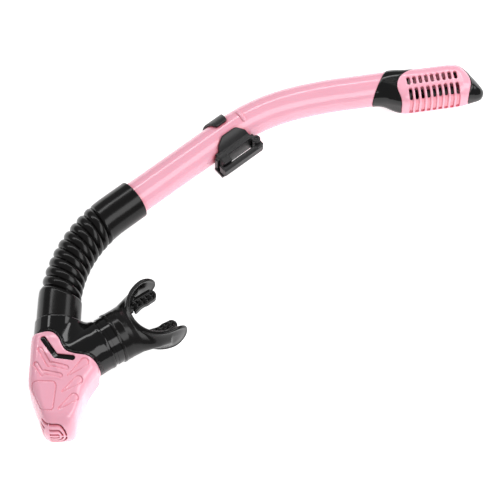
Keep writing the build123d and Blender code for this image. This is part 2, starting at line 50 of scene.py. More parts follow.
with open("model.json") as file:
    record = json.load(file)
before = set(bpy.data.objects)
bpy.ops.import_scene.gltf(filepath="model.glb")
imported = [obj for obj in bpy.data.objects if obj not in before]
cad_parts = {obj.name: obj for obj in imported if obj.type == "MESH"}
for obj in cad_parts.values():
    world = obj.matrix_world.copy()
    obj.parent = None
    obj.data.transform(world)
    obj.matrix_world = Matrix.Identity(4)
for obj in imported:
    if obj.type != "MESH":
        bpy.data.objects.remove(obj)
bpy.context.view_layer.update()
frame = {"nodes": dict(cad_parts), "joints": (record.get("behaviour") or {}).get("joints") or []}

MM = 0.001


# ---------------------------------------------------------------- colours and sizes
def linear(code):
    """A linear RGB colour from an sRGB hex value."""
    parts = [int(code[i:i + 2], 16) / 255 for i in (1, 3, 5)]
    return tuple(c / 12.92 if c <= 0.04045 else ((c + 0.055) / 1.055) ** 2.4 for c in parts)


def length(name, description, millimetres):
    """A length property whose default is given in millimetres."""
    return FloatProperty(name=name, description=description, default=millimetres * MM,
                         min=0.0, unit="LENGTH", precision=4)


def colour(name, description, code):
    """A colour property whose default is given as an sRGB hex value."""
    return FloatVectorProperty(name=name, description=description, default=linear(code),
                               subtype="COLOR", size=3, min=0.0, max=1.0)


class TubeSizes(bpy.types.PropertyGroup):
    """Sizes of the rigid tube and the hose."""
    tube_r: length("Tube radius", "Outside radius of the rigid tube", 12.7)
    tube_wall: length("Tube wall", "Wall of the rigid tube", 1.6)
    stop_rib_rise: length("Stop rib rise", "How far the keeper's stop rib stands out", 1.1)
    lower_cuff_r: length("Lower cuff radius", "Hose cuff on the chamber", 16.4)
    upper_cuff_r: length("Upper cuff radius", "Hose cuff on the tube", 15.2)
    rib_crest_r: length("Rib crest radius", "Hose over its spiral ribs", 15.5)
    rib_root_r: length("Rib root radius", "Hose between its spiral ribs", 12.9)
    rib_pitch: length("Rib pitch", "From one spiral rib to the next, along the hose", 7.3)
    rib_starts: IntProperty(name="Rib starts", description="Spiral ribs side by side", default=3,
                            min=1, max=6)


class ChamberSizes(bpy.types.PropertyGroup):
    """Sizes of the purge chamber and its cover."""
    leg_r: length("Leg radius", "Outside radius of the chamber's hose leg", 17.3)
    port_r: length("Port radius", "Outside radius of the mouthpiece port", 19.2)
    saddle_r: length("Saddle", "How softly the leg and the port flow together", 11.0)
    boss_width: length("Chevron width", "Width of the chevron boss in the cover's window", 3.0)
    grille_pitch: length("Grille pitch", "From one slot of the prow's grille to the next", 4.6)
    grille_slot: length("Grille slot", "Width of a slot in the prow's grille", 1.9)


class TopSizes(bpy.types.PropertyGroup):
    """Sizes of the dry top."""
    slot_count: IntProperty(name="Slots", description="Slots in each row of the grille",
                            default=9, min=1, max=12)
    slot_pitch: length("Slot pitch", "From one slot to the next", 4.55)
    slot_width: length("Slot width", "Width of a slot", 2.6)
    wall: length("Wall", "Wall of the dry top", 1.8)


class Colours(bpy.types.PropertyGroup):
    """Colours of the moulded pieces."""
    pink: colour("Pink", "Gloss pink of the tube and the covers", "#FDB4C7")
    black: colour("Gloss black", "Gloss black of the chamber and the dry top", "#0A0A0B")
    satin: colour("Satin black", "Satin black of the keeper", "#121113")
    silicone: colour("Silicone", "Black silicone of the hose and the mouthpiece", "#0E0D0D")


# ---------------------------------------------------------------- stations on the airway
class Station:
    """A place on the airway, in millimetres, with its heading in degrees."""

    def __init__(self, x, y, heading):
        self.place = np.array((x, y))
        self.heading = heading
        turn = math.radians(heading)
        self.ahead = np.array((math.cos(turn), math.sin(turn)))
        self.aside = np.array((-math.sin(turn), math.cos(turn)))

    def on(self, distance):
        """The station further along a straight."""
        return Station(*(self.place + self.ahead * distance), self.heading)

    def bend(self, radius, angle):
        """The station after a bend away from the curve's back."""
        middle = self.place - self.aside * radius
        end = Station(*middle, self.heading - angle)
        return Station(*(middle + end.aside * radius), self.heading - angle)

    def world(self, points):
        """Points of this station's frame in the row frame, in metres."""
        flat = self.place + np.outer(points[:, 0], self.ahead) + np.outer(points[:, 1], self.aside)
        return np.column_stack((flat, points[:, 2] + LINE_HEIGHT)) * MM


SWIVEL = next(joint for joint in frame["joints"] if joint["name"] == "mouthpiece_swivel")
SWIVEL_DISTANCE = 41.8        # from the chamber's centre to the swivel's face
LINE_HEIGHT = SWIVEL["pos_m"][2] / MM

PORT = Station(SWIVEL["pos_m"][0] / MM - SWIVEL_DISTANCE, SWIVEL["pos_m"][1] / MM, 0.0)
LEG_ANGLE = 55.2
LEG = Station(*PORT.place, LEG_ANGLE)
LEG_LENGTH = 38.7
SPIGOT_LENGTH = 15.3          # of the leg, inside the hose
HOSE_BEND = (105.0, 48.6)     # each bend's radius, and its angle in degrees
MAIN_BEND = (141.0, 22.6)
LAST_BEND = (290.0, 7.8)
TUBE_STRAIGHT = 110.0
TUBE_IN_HOSE = 19.5
TUBE_END = 29.7               # from the last bend to the middle of the tube's slanted end
JOINT_SLANT = math.radians(32.0)

HOSE_START = LEG.on(LEG_LENGTH)
TUBE_START = HOSE_START.on(SPIGOT_LENGTH).bend(*HOSE_BEND)
TOP = TUBE_START.on(TUBE_STRAIGHT).bend(*MAIN_BEND).bend(*LAST_BEND)
HOSE_RUNS = ((SPIGOT_LENGTH, None), HOSE_BEND, (TUBE_IN_HOSE, None))
TUBE_RUNS = ((TUBE_STRAIGHT, None), MAIN_BEND, LAST_BEND, (TUBE_END, None))


def run_of(size, angle):
    """The length of a straight, or of a bend of this radius and angle."""
    return size if angle is None else size * math.radians(angle)


def stations_along(start, runs, distances):
    """The stations at the given distances along straights and bends."""
    found = []
    for distance in distances:
        here, left = start, distance
        for size, angle in runs:
            run = run_of(size, angle)
            last = (size, angle) == runs[-1]
            if left <= run or last:
                here = here.on(left) if angle is None else here.bend(size, math.degrees(left / size))
                break
            here = here.on(size) if angle is None else here.bend(size, angle)
            left -= run
        found.append(here)
    return found


# ---------------------------------------------------------------- fields of distance
def smooth_step(value, low, high):
    """Rises smoothly from 0 to 1 between low and high."""
    t = np.clip((value - low) / (high - low), 0.0, 1.0)
    return t * t * (3 - 2 * t)


def join(a, b, blend=0.0):
    """Both forms, flowing together over blend."""
    near = np.maximum(blend - np.abs(a - b), 0.0) / np.maximum(blend, 1e-9)
    return np.minimum(a, b) - near * near * blend / 4


def common(a, b, blend=0.0):
    """What two forms share, with its edge softened over blend."""
    return -join(-a, -b, blend)


def cut(a, b, blend=0.0):
    """The first form less the second."""
    return common(a, -b, blend)


def rounded_common(a, b, radius):
    """What two forms share, with its edge rounded to a true radius."""
    over_a = np.maximum(a + radius, 0.0)
    over_b = np.maximum(b + radius, 0.0)
    return np.minimum(np.maximum(a, b) + radius, 0.0) + np.hypot(over_a, over_b) - radius


def slab(value, low, high):
    """Everything between two planes."""
    return np.maximum(low - value, value - high)


def brick(x, y, z, limits, radius=0.5):
    """A block between pairs of limits, with rounded edges."""
    apart = [np.abs(v - (a + b) / 2) - (b - a) / 2 + radius for v, (a, b) in zip((x, y, z), limits)]
    outside = np.sqrt(sum(np.maximum(d, 0.0) ** 2 for d in apart))
    return outside + np.minimum(np.maximum(np.maximum(*apart[:2]), apart[2]), 0.0) - radius


def strip(x, y, start, end, half_start, half_end=None):
    """A flat strip with round ends from start to end, in a plane."""
    half_end = half_start if half_end is None else half_end
    run = np.subtract(end, start)
    share = ((x - start[0]) * run[0] + (y - start[1]) * run[1]) / (run @ run)
    share = np.clip(share, 0.0, 1.0)
    away = np.hypot(x - start[0] - share * run[0], y - start[1] - share * run[1])
    return away - half_start - share * (half_end - half_start)


class Outline:
    """A closed outline in a plane, kept as a table of distances."""

    def __init__(self, corners, radius=1.0, pitch=0.35, margin=8.0):
        corners = np.array(corners, float)
        points = []
        for i, here in enumerate(corners):
            before, after = corners[i - 1] - here, corners[(i + 1) % len(corners)] - here
            reach = min(radius, 0.45 * np.hypot(*before), 0.45 * np.hypot(*after))
            first = here + before / np.hypot(*before) * reach
            last = here + after / np.hypot(*after) * reach
            for t in np.linspace(0, 1, 7):
                points.append((1 - t) ** 2 * first + 2 * t * (1 - t) * here + t * t * last)
        points = np.array(points)
        self.low = points.min(0) - margin
        self.pitch = pitch
        counts = np.ceil((points.max(0) + margin - self.low) / pitch).astype(int) + 1
        self.top = np.array(counts) - 1.001
        x, y = (self.low[i] + pitch * np.arange(counts[i]) for i in (0, 1))
        x, y = np.meshgrid(x, y, indexing="ij")
        nearest = np.full(x.shape, 1e9)
        inside = np.zeros(x.shape, bool)
        for a, b in zip(points, np.roll(points, -1, 0)):
            if np.allclose(a, b):
                continue
            nearest = np.minimum(nearest, strip(x, y, a, b, 0.0))
            if a[1] != b[1]:
                crosses = (a[1] > y) != (b[1] > y)
                inside ^= crosses & (x < a[0] + (y - a[1]) * (b[0] - a[0]) / (b[1] - a[1]))
        self.table = np.where(inside, -nearest, nearest)

    def __call__(self, x, y):
        u = (x - self.low[0]) / self.pitch
        v = (y - self.low[1]) / self.pitch
        within_u, within_v = np.clip(u, 0, self.top[0]), np.clip(v, 0, self.top[1])
        i, j = within_u.astype(int), within_v.astype(int)
        s, t = within_u - i, within_v - j
        table = self.table
        low = table[i, j] * (1 - s) + table[i + 1, j] * s
        high = table[i, j + 1] * (1 - s) + table[i + 1, j + 1] * s
        return low * (1 - t) + high * t + np.hypot(u - within_u, v - within_v) * self.pitch


# ---------------------------------------------------------------- meshes
CORNERS = [(c & 1, c >> 1 & 1, c >> 2 & 1) for c in range(8)]
EDGES = [(a, b) for a in range(8) for b in range(a)
         if sum(np.abs(np.subtract(CORNERS[a], CORNERS[b]))) == 1]
BLOCK = 6                     # fine cells along a coarse block's side


def sample(field, low, blocks, step):
    """The field on a fine grid, worked out in full only in blocks near its surface."""
    index = np.indices(blocks).reshape(3, -1).T
    middle = low + (index * BLOCK + (BLOCK - 1) / 2) * step
    coarse = field(*middle.T)
    values = coarse.reshape(blocks)
    for axis in range(3):
        values = np.repeat(values, BLOCK, axis)
    near = index[np.abs(coarse) < BLOCK * step * 1.4]
    inner = np.indices((BLOCK,) * 3).reshape(3, -1).T
    for part in np.array_split(near, max(1, len(near) // 1500)):
        fine = (part[:, None] * BLOCK + inner).reshape(-1, 3)
        values[tuple(fine.T)] = field(*(low + fine * step).T)
    return values


def skin(field, low, high, step):
    """A closed mesh on the field's surface: points and quads, in the field's own frame."""
    low = np.array(low, float)
    blocks = np.ceil((np.array(high) - low) / (step * BLOCK)).astype(int) + 1
    values = sample(field, low, blocks, step)
    inside = values < 0
    size = np.array(values.shape) - 1
    window = [tuple(slice(o, o + n) for o, n in zip(corner, size)) for corner in CORNERS]
    count = sum(inside[w].astype(np.int8) for w in window)
    cells = np.argwhere((count > 0) & (count < 8))
    at = [values[tuple((cells + corner).T)] for corner in CORNERS]
    total, hits = np.zeros((len(cells), 3)), np.zeros(len(cells))
    for a, b in EDGES:
        crossed = (at[a] < 0) != (at[b] < 0)
        share = np.where(crossed, at[a] / np.where(crossed, at[a] - at[b], 1.0), 0.0)
        spot = np.array(CORNERS[a]) + share[:, None] * np.subtract(CORNERS[b], CORNERS[a])
        total += spot * crossed[:, None]
        hits += crossed
    points = low + (cells + total / hits[:, None]) * step
    number = np.full(size, -1)
    number[tuple(cells.T)] = np.arange(len(cells))
    quads = []
    for axis in range(3):
        u, v = np.eye(3, dtype=int)[[(axis + 1) % 3, (axis + 2) % 3]]
        lower = [slice(None)] * 3
        upper = [slice(None)] * 3
        lower[axis], upper[axis] = slice(None, -1), slice(1, None)
        first = inside[tuple(lower)]
        change = np.argwhere(first != inside[tuple(upper)])
        change = change[(change @ u > 0) & (change @ v > 0)]
        ring = np.column_stack([number[tuple((change - step_to).T)] for step_to in (0 * u, u, u + v, v)])
        outward = first[tuple(change.T)]
        ring[~outward] = ring[~outward][:, ::-1]
        quads.append(ring)
    quads = np.concatenate(quads)
    return settle(field, points, step), quads


def slope(field, points, reach=0.04):
    """The field and its gradient at points."""
    here = field(*points.T)
    rise = [(field(*(points + reach * axis).T) - here) / reach for axis in np.eye(3)]
    return here, np.column_stack(rise)


def settle(field, points, step):
    """The points moved onto the field's surface, by less than a cell."""
    start = points.copy()
    for _ in range(2):
        here, rise = slope(field, points)
        steep = np.maximum((rise ** 2).sum(1), 0.25)
        points = points - rise * (here / steep)[:, None]
        points = start + np.clip(points - start, -0.7 * step, 0.7 * step)
    return points


def piece(name, points, faces, station, material, smooth_angle=38):
    """A mesh object from points in a station's frame, in millimetres."""
    mesh = bpy.data.meshes.new(name)
    mesh.from_pydata(station.world(np.asarray(points)), [], np.asarray(faces).tolist()
                     if isinstance(faces, np.ndarray) else faces)
    mesh.polygons.foreach_set("use_smooth", [True] * len(mesh.polygons))
    mesh.set_sharp_from_angle(angle=math.radians(smooth_angle))
    mesh.materials.append(material)
    made = bpy.data.objects.new(name, mesh)
    bpy.context.scene.collection.objects.link(made)
    return made


def swept(outer, inner):
    """A closed pipe from rings of points: out along the outside and back along the inside."""
    rings = np.concatenate((outer, inner[::-1]))
    rows, around = rings.shape[:2]
    row, turn = np.meshgrid(np.arange(rows), np.arange(around), indexing="ij")
    nxt, on = (row + 1) % rows, (turn + 1) % around
    faces = np.stack((row * around + turn, row * around + on, nxt * around + on, nxt * around + turn), -1)
    return rings.reshape(-1, 3), faces.reshape(-1, 4)[:, ::-1]


def rings_on(stations, radius, sides):
    """Rings of points in the row's plane, square to the airway at each station."""
    theta = np.arange(sides) * 2 * math.pi / sides
    side, up = np.cos(theta), np.sin(theta)
    return np.array([[(*(here.place + here.aside * r * s), r * u) for r, s, u in zip(row, side, up)]
                     for here, row in zip(stations, radius)])


WORLD = Station(0.0, 0.0, 0.0)


# ---------------------------------------------------------------- finishes
def node(tree, kind, inputs=None, **settings):
    """Adds a node with its settings, and sets or links its inputs."""
    made = tree.nodes.new(kind)
    for name, value in settings.items():
        setattr(made, name, value)
    for name, value in (inputs or {}).items():
        if isinstance(value, bpy.types.NodeSocket):
            tree.links.new(value, made.inputs[name])
        else:
            made.inputs[name].default_value = value
    return made


def moulded(name, colour, roughness, spread, grain_mm, depth_mm, constants, painted_shade_colour=None):
    """A finish with uneven gloss, a drift of colour, a fine grain and, if given, a colour of painted shade in
    its hollows.
    """
    material = bpy.data.materials.new(name)
    material.use_nodes = True
    tree = material.node_tree
    tree.nodes.clear()
    place = node(tree, "ShaderNodeTexCoord").outputs["Object"]
    flow = node(tree, "ShaderNodeTexNoise", {"Vector": place, "Scale": 1 / (25 * MM), "Detail": 2.0})
    grain = node(tree, "ShaderNodeTexNoise", {"Vector": place, "Scale": 1 / (grain_mm * MM), "Detail": 3.0})
    drift = node(tree, "ShaderNodeMapRange",
                 {"Value": flow.outputs["Fac"], "To Min": roughness - spread, "To Max": roughness + spread})
    shade = node(tree, "ShaderNodeMix",
                 {"Factor": flow.outputs["Fac"], "A": (*[c * 0.95 for c in colour], 1.0),
                  "B": (*[min(1.0, c * 1.05) for c in colour], 1.0)}, data_type="RGBA")
    bump = node(tree, "ShaderNodeBump", {"Height": grain.outputs["Fac"], "Distance": depth_mm * MM,
                                         "Strength": 1.0})
    tone_and_painted_shade = shade.outputs["Result"]
    if painted_shade_colour:
        # painted shade: ambient occlusion blends the base colour towards the shade colour in slots, grooves
        # and recesses
        shade_occlusion = node(tree, "ShaderNodeAmbientOcclusion", {"Distance": 3.5 * MM}, samples=8)
        tone_and_painted_shade = node(tree, "ShaderNodeMix", {"Factor": shade_occlusion.outputs["AO"], "A": (*painted_shade_colour, 1.0), "B": tone_and_painted_shade},
                    data_type="RGBA").outputs["Result"]
    shader = node(tree, "ShaderNodeBsdfPrincipled",
                  {"Base Color": tone_and_painted_shade, "Roughness": drift.outputs["Result"],
                   "Normal": bump.outputs["Normal"], **constants})
    node(tree, "ShaderNodeOutputMaterial", {"Surface": shader.outputs["BSDF"]})
    return material


FINISHES = {}


def make_finishes(colours):
    """The finishes of all pieces."""
    # polished polycarbonate: crisp long reflections over a clean pink, with painted shade that turns it red
    # in its slots and recesses
    FINISHES["gloss_pink"] = moulded(
        "polished_pink_polycarbonate", colours.pink, 0.13, 0.03, 9.0, 0.01,
        {"IOR": 1.58, "Subsurface Weight": 0.12, "Subsurface Radius": (1.0, 0.35, 0.3),
         # the painted shade colour: a deep red laid into the pink's slots and recesses
         "Subsurface Scale": 1.2 * MM}, linear("#E04853"))
    # polished ABS: deep black with mirror-like softbox patches
    FINISHES["gloss_black"] = moulded("polished_black_ABS", colours.black, 0.1, 0.03, 12.0, 0.012,
                                      {"IOR": 1.5, "Specular IOR Level": 0.42})
    # spark-eroded polypropylene: grey-black with a broad soft sheen and a fine even grain
    FINISHES["satin_black"] = moulded("eroded_black_polypropylene", colours.satin, 0.42, 0.05, 0.6, 0.02,
                                      {"IOR": 1.49})
    # moulded silicone: soft black whose highlights are dull and wide
    FINISHES["black_silicone"] = moulded("moulded_black_silicone", colours.silicone, 0.2, 0.04, 1.4, 0.008,
                                         {"IOR": 1.43, "Specular IOR Level": 0.38})
    # clear silicone: milky valve parts
    FINISHES["clear_silicone"] = moulded("moulded_clear_silicone", linear("#D9D6D0"), 0.3, 0.04, 1.5, 0.01,
                                         {"IOR": 1.41, "Subsurface Weight": 0.4,
                                          "Subsurface Scale": 1.0 * MM})
    # centreless-ground stainless pin: grey metal with a dull shine
    FINISHES["pin_steel"] = moulded("ground_stainless_steel", linear("#B5B3AF"), 0.3, 0.05, 0.3, 0.004,
                                    {"Metallic": 1.0})


def fitted(made, body, slot, *nodes):
    """Puts a piece on its body, in the place of CAD nodes."""
    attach(made, body)
    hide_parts(*nodes)
    return made


# ---------------------------------------------------------------- rigid tube
TUBE_SIDES = 144
BORE_ROWS = 120
EDGE_R = 0.35
SLANT_START = 8.0             # along the last straight, where the rings start to lean
RIB_ALONG_BEND = 13.0
RIB_HALF_WIDTH = 1.7
RIB_MIDDLE = math.radians(84.0)
RIB_HALF_SWEEP = math.radians(20.0)
WINDOW_ALONG = 31.0
WINDOW_HALF_SWEEP = 7.5       # of the lock tab's window, round the tube
WINDOW_DEPTH = 1.45


class SNORKEL_OT_tube(bpy.types.Operator):
    """Makes the rigid tube with its stop rib, lock window and slanted end"""
    bl_idname = "snorkel.tube"
    bl_label = "Rigid Tube"

    def execute(self, context):
        sizes = context.scene.snorkel_tube
        outer_r, wall = sizes.tube_r / MM, sizes.tube_wall / MM
        theta = np.arange(TUBE_SIDES) * 2 * math.pi / TUBE_SIDES
        top_at = TUBE_STRAIGHT + run_of(*MAIN_BEND) + run_of(*LAST_BEND)
        rib_at, window_at = TUBE_STRAIGHT + RIB_ALONG_BEND, top_at + WINDOW_ALONG
        end_at, slant_at = top_at + TUBE_END, top_at + SLANT_START
        distances = np.concatenate((np.linspace(0.5, rib_at - 3, 100),
                                    np.linspace(rib_at - 2.7, rib_at + 2.7, 25),
                                    np.linspace(rib_at + 3, slant_at, 80),
                                    np.linspace(slant_at, end_at, 90)[1:]))
        along = np.repeat(distances[:, None], TUBE_SIDES, 1)
        share = np.clip((along - slant_at) / (end_at - slant_at), 0, 1)
        along = along + share * np.cos(theta) * outer_r * math.tan(JOINT_SLANT)
        aside = np.maximum(np.abs(theta - RIB_MIDDLE) - RIB_HALF_SWEEP, 0.0) * outer_r
        rib = np.hypot(along - rib_at, aside) / RIB_HALF_WIDTH
        rise = sizes.stop_rib_rise / MM * np.sqrt(np.maximum(1 - rib ** 2, 0.0)) ** 0.8
        around = ((theta + math.pi) % (2 * math.pi) - math.pi) * outer_r
        window = np.hypot(np.maximum(np.abs(along - window_at) - 1.0, 0.0),
                          np.maximum(np.abs(around) - WINDOW_HALF_SWEEP, 0.0)) - 1.75
        dip = WINDOW_DEPTH * (1 - smooth_step(window, -0.25, 0.15))
        edge = EDGE_R * sum(1 - np.sqrt(1 - (1 - np.clip(inward / EDGE_R, 0, 1)) ** 2)
                            for inward in (end_at - distances, distances - distances[0]))
        radius = outer_r + rise - dip - edge[:, None]
        points = self.rings(along, radius)
        inner_along = along[np.linspace(0, len(distances) - 1, BORE_ROWS).astype(int)]
        inner = self.rings(inner_along, np.full(inner_along.shape, outer_r - wall))
        made = piece("rigid_tube", *swept(points, inner), WORLD, FINISHES["gloss_pink"])
        fitted(made, "snorkel_tube", "gloss_pink", "upper_tube")
        return {"FINISHED"}

    def rings(self, along, radius):
        """Rings whose points may each stand at their own distance."""
        theta = np.arange(TUBE_SIDES) * 2 * math.pi / TUBE_SIDES
        stations = stations_along(TUBE_START, TUBE_RUNS, along.ravel())
        place = np.array([s.place for s in stations])
        aside = np.array([s.aside for s in stations])
        turns = np.tile(theta, len(along))
        flat = place + aside * (radius.ravel() * np.cos(turns))[:, None]
        return np.column_stack((flat, radius.ravel() * np.sin(turns))).reshape(*along.shape, 3)


# ---------------------------------------------------------------- hose
HOSE_SIDES = 160
LOWER_CUFF = 21.35            # mean length of the smooth cuff on the chamber
UPPER_CUFF = 33.0             # and of the one on the tube
RIB_END_WAVE = 0.7
LEG_SEAT_R = 14.35
HOSE_BORE_R = 11.4
TUBE_SEAT_R = 12.85


class SNORKEL_OT_hose(bpy.types.Operator):
    """Makes the silicone hose, whose ribs run round it in a spiral between two cuffs"""
    bl_idname = "snorkel.hose"
    bl_label = "Ribbed Hose"

    def execute(self, context):
        sizes = context.scene.snorkel_tube
        total = SPIGOT_LENGTH + run_of(*HOSE_BEND) + TUBE_IN_HOSE
        theta = np.arange(HOSE_SIDES) * 2 * math.pi / HOSE_SIDES
        distances = np.unique(np.concatenate((np.linspace(0, 2, 9), np.linspace(2, 15, 8),
                                              np.linspace(15, total - 27, 220),
                                              np.linspace(total - 27, total - 2, 12),
                                              np.linspace(total - 2, total, 9))))
        s, angle = np.meshgrid(distances, theta, indexing="ij")
        pitch = sizes.rib_pitch / MM
        phase = (s + sizes.rib_starts * pitch * angle / (2 * math.pi)) / pitch % 1.0
        crest, root = sizes.rib_crest_r / MM, sizes.rib_root_r / MM
        ribs = root + (crest - root) * np.sqrt(np.maximum(1 - (2 * phase - 1) ** 2 * 0.98, 0.0))
        wave = RIB_END_WAVE * np.cos(angle * sizes.rib_starts + 0.6)
        ribs_start = LOWER_CUFF + 3.35 * np.cos(angle)
        ribs_end = total - UPPER_CUFF + 3.0 * np.cos(angle)
        into = smooth_step(s + wave - ribs_start, -1.5, 1.5)
        out = smooth_step(s + 0.7 * wave - ribs_end, -1.3, 1.3)
        lower, upper = sizes.lower_cuff_r / MM, sizes.upper_cuff_r / MM
        radius = lower * (1 - into) + ribs * into * (1 - out) + upper * out
        for last, nearly in ((0, 1), (-1, -2)):
            radius[last] -= 0.5
            radius[nearly] -= 0.12
        outer = rings_on(stations_along(HOSE_START, HOSE_RUNS, distances), radius, HOSE_SIDES)
        leg_seat, tube_seat = SPIGOT_LENGTH + 0.6, total - TUBE_IN_HOSE - 0.5
        steps = np.array([0.0, 15.4, 16.5, 40.0, 60.0, 80.0, total - 20.5, total - 19.5, total])
        steps = np.unique(np.concatenate((steps, np.linspace(17, total - 21, 40))))
        bore = np.where(steps < leg_seat, LEG_SEAT_R, np.where(steps < tube_seat, HOSE_BORE_R, TUBE_SEAT_R))
        inner = rings_on(stations_along(HOSE_START, HOSE_RUNS, steps),
                         np.repeat(bore[:, None], HOSE_SIDES, 1), HOSE_SIDES)
        made = piece("ribbed_hose", *swept(outer, inner), WORLD, FINISHES["black_silicone"], 60)
        start, end = stations_along(HOSE_START, HOSE_RUNS, (total - 30.0, 28.0))
        ends = [tuple(s.world(np.zeros((1, 3)))[0]) for s in (start, end)]
        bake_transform(made)
        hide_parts("flex_hose")
        return {"FINISHED"}


# ---------------------------------------------------------------- purge chamber and its cover
COVER_OUTLINE = [(21, 30), (22.6, 16), (25.2, 9), (24.6, 2.5), (20, -2.5), (13, -5.5), (8.6, -8.5),
                 (6.6, -15), (6.0, -26), (-0.6, -34.6), (-8, -42), (-70, -42), (-70, 30)]
PROW_OUTLINE = [(26, 17.7), (-17, 17.7), (-52.0, 3.6), (-50.5, -17.5), (-31, -21.9), (-19, -24.3),
                (-9, -29.4), (-2.5, -33.2), (14, -26), (26, -6)]
PROW_HALF_HEIGHT = 17.7
PROW_END = -52.0
END_FACE_START = (-51.5, 3.6)
END_FACE_RUN = (34.5, 14.1)
CORE_END = -24.0


def leg_axes(x, y):
    """Port coordinates in the leg's frame."""
    turn = math.radians(LEG_ANGLE)
    return x * math.cos(turn) + y * math.sin(turn), y * math.cos(turn) - x * math.sin(turn)


class ChamberForm:
    """The chamber's shared forms, in the port's frame."""

    def __init__(self, sizes):
        self.leg_r, self.port_r = sizes.leg_r / MM, sizes.port_r / MM
        self.saddle = sizes.saddle_r / MM
        self.boss = sizes.boss_width / MM
        self.pitch, self.slot = sizes.grille_pitch / MM, sizes.grille_slot / MM
        self.cover_edge = Outline(COVER_OUTLINE, 4.0)
        self.prow_plan = Outline(PROW_OUTLINE, 6.5)
        self.panel = Outline([(-15.6, 10.6), (-15.6, -1.6), (-18.6, -3.4), (-37.0, -2.3), (-38.3, -1.2),
                              (-38.3, 4.6), (-36.8, 6.2), (-21.4, 13.8), (-16.6, 14.0)], 2.0)

    def outside(self, x, y, z):
        """The Y's outside."""
        u, v = leg_axes(x, y)
        leg = np.maximum(np.hypot(v, z) - self.leg_r, -u - 12)
        port = np.maximum(np.hypot(y, z) - self.port_r, -x)
        lip = rounded_common(np.hypot(y, z) - self.port_r, slab(x, 39.0, 41.3), 0.3)
        port = np.maximum(port, np.hypot(y, z) - self.port_r + 0.25 * smooth_step(x, 30.0, 36.0))
        crown = np.maximum(0.45, 1 - (np.abs(z) / self.port_r) ** 8)
        both = join(leg, port, self.saddle * crown)
        both = common(both, np.abs(z) - 19.3, 1.6)
        both = rounded_common(both, u - LEG_LENGTH + 0.1, 0.4)
        return join(rounded_common(both, x - 41.3, 0.3), lip, 0.3)

    def prow(self, x, y, z, inset=0.0):
        """The cover's lower form, or the space inside it when inset."""
        u, v = leg_axes(x, y)
        barrel = np.where(z > 0, 9.0, 3.5) * (z / PROW_HALF_HEIGHT) ** 2 * smooth_step(-u, 8.0, 38.0)
        edge = np.maximum(3.0 + 5.0 * smooth_step(u, -34.0, -14.0) - inset, 0.8)
        plan = self.prow_plan(u - barrel, v) + inset
        return rounded_common(plan, np.abs(z) - PROW_HALF_HEIGHT + inset, edge)

    def core(self, x, y, z):
        """The stepped-down core under the cover."""
        u, v = leg_axes(x, y)
        leg = np.maximum(np.hypot(v, z) - 15.2, slab(u, CORE_END, LEG_LENGTH - 3))
        port = np.maximum(np.hypot(y, z) - 17.3, slab(x, 0, 38.5))
        return join(leg, port, 3.0)

    def chevron(self, x, y, grow=0.0):
        """The chevron in plan."""
        u, v = leg_axes(x, y)
        half = self.boss / 2 + grow
        arm = strip(u, v, (18.4, 8.6), (4.2, -1.4), half)
        return join(arm, strip(u, v, (4.2, -1.4), (3.3, -13.6), half))

    def black(self, x, y, z):
        """The black chamber."""
        u, v = leg_axes(x, y)
        outside = self.outside(x, y, z)
        shell = cut(outside, self.cover_edge(u, v) - 0.22, 0.9)
        groove = cut(np.abs(self.cover_edge(u, v) - 2.0) - 0.4, outside + 0.55)
        shell = cut(shell, groove, 0.3)
        core = np.maximum(self.core(x, y, z), join(outside, self.prow(x, y, z), 3.0) + 1.5)
        whole = join(shell, core, 0.4)
        spigot = np.maximum(np.hypot(v, z) - 14.2, slab(u, 0, LEG_LENGTH + 15))
        whole = join(whole, rounded_common(spigot, u - LEG_LENGTH - 15, 0.5))
        boss = rounded_common(self.chevron(x, y), np.abs(z) - 16.6, 0.5)
        whole = join(whole, np.maximum(boss, 12 - np.abs(z)))
        bores = np.maximum(np.hypot(v, z) - 12.6, -21 - u)
        bores = join(bores, np.maximum(np.hypot(v, z) - 10.4, CORE_END + 1 - u))
        bores = join(bores, np.maximum(np.hypot(v, z) - 11.7, u - CORE_END - 2.4))
        bores = join(bores, np.maximum(np.hypot(y, z) - 14.4, -x))
        bores = join(bores, np.maximum(np.hypot(y, z) - 16.0, 24.5 - x))
        return cut(whole, bores, 0.3)

    def engraving(self, x, y):
        """The cover's recesses in plan: how far outside them a point is."""
        u, v = leg_axes(x, y)
        arms = [((9.6, 10.2), (-3.0, 2.8)), ((-2.3, 1.2), (-4.6, -9.6)),
                ((-2.0, 12.6), (-10.2, 7.2)), ((-8.6, 5.9), (-10.9, -5.6))]
        near = None
        for start, end in arms:
            arm = strip(u, v, start, end, 1.55)
            near = arm if near is None else np.minimum(near, arm)
        leaves = [((-10.6, -11.6), (0.6, -22.6)), ((-23.4, -8.4), (-13.6, -19.0)),
                  ((-36.9, -6.6), (-27.6, -16.8))]
        for tail, head in leaves:
            near = np.minimum(near, strip(u, v, tail, head, 0.5, 3.0))
        return near, self.panel(u, v)

    def slots(self, along, z):
        """Nested slots, open to the prow's ridge, by the distance from it."""
        bend_at = 8.6
        beyond = np.maximum(along - bend_at, 0.0) * 1.75
        ring = np.hypot(beyond, z)
        slots = np.full(ring.shape, 1e3)
        for number in range(3):
            slots = np.minimum(slots, np.abs(ring - (number + 0.5) * self.pitch) - self.slot / 2)
        rib = np.maximum(np.abs(z) - 0.9, bend_at + 0.5 - along)
        return np.maximum(np.maximum(slots, -rib), 3.2 - along)

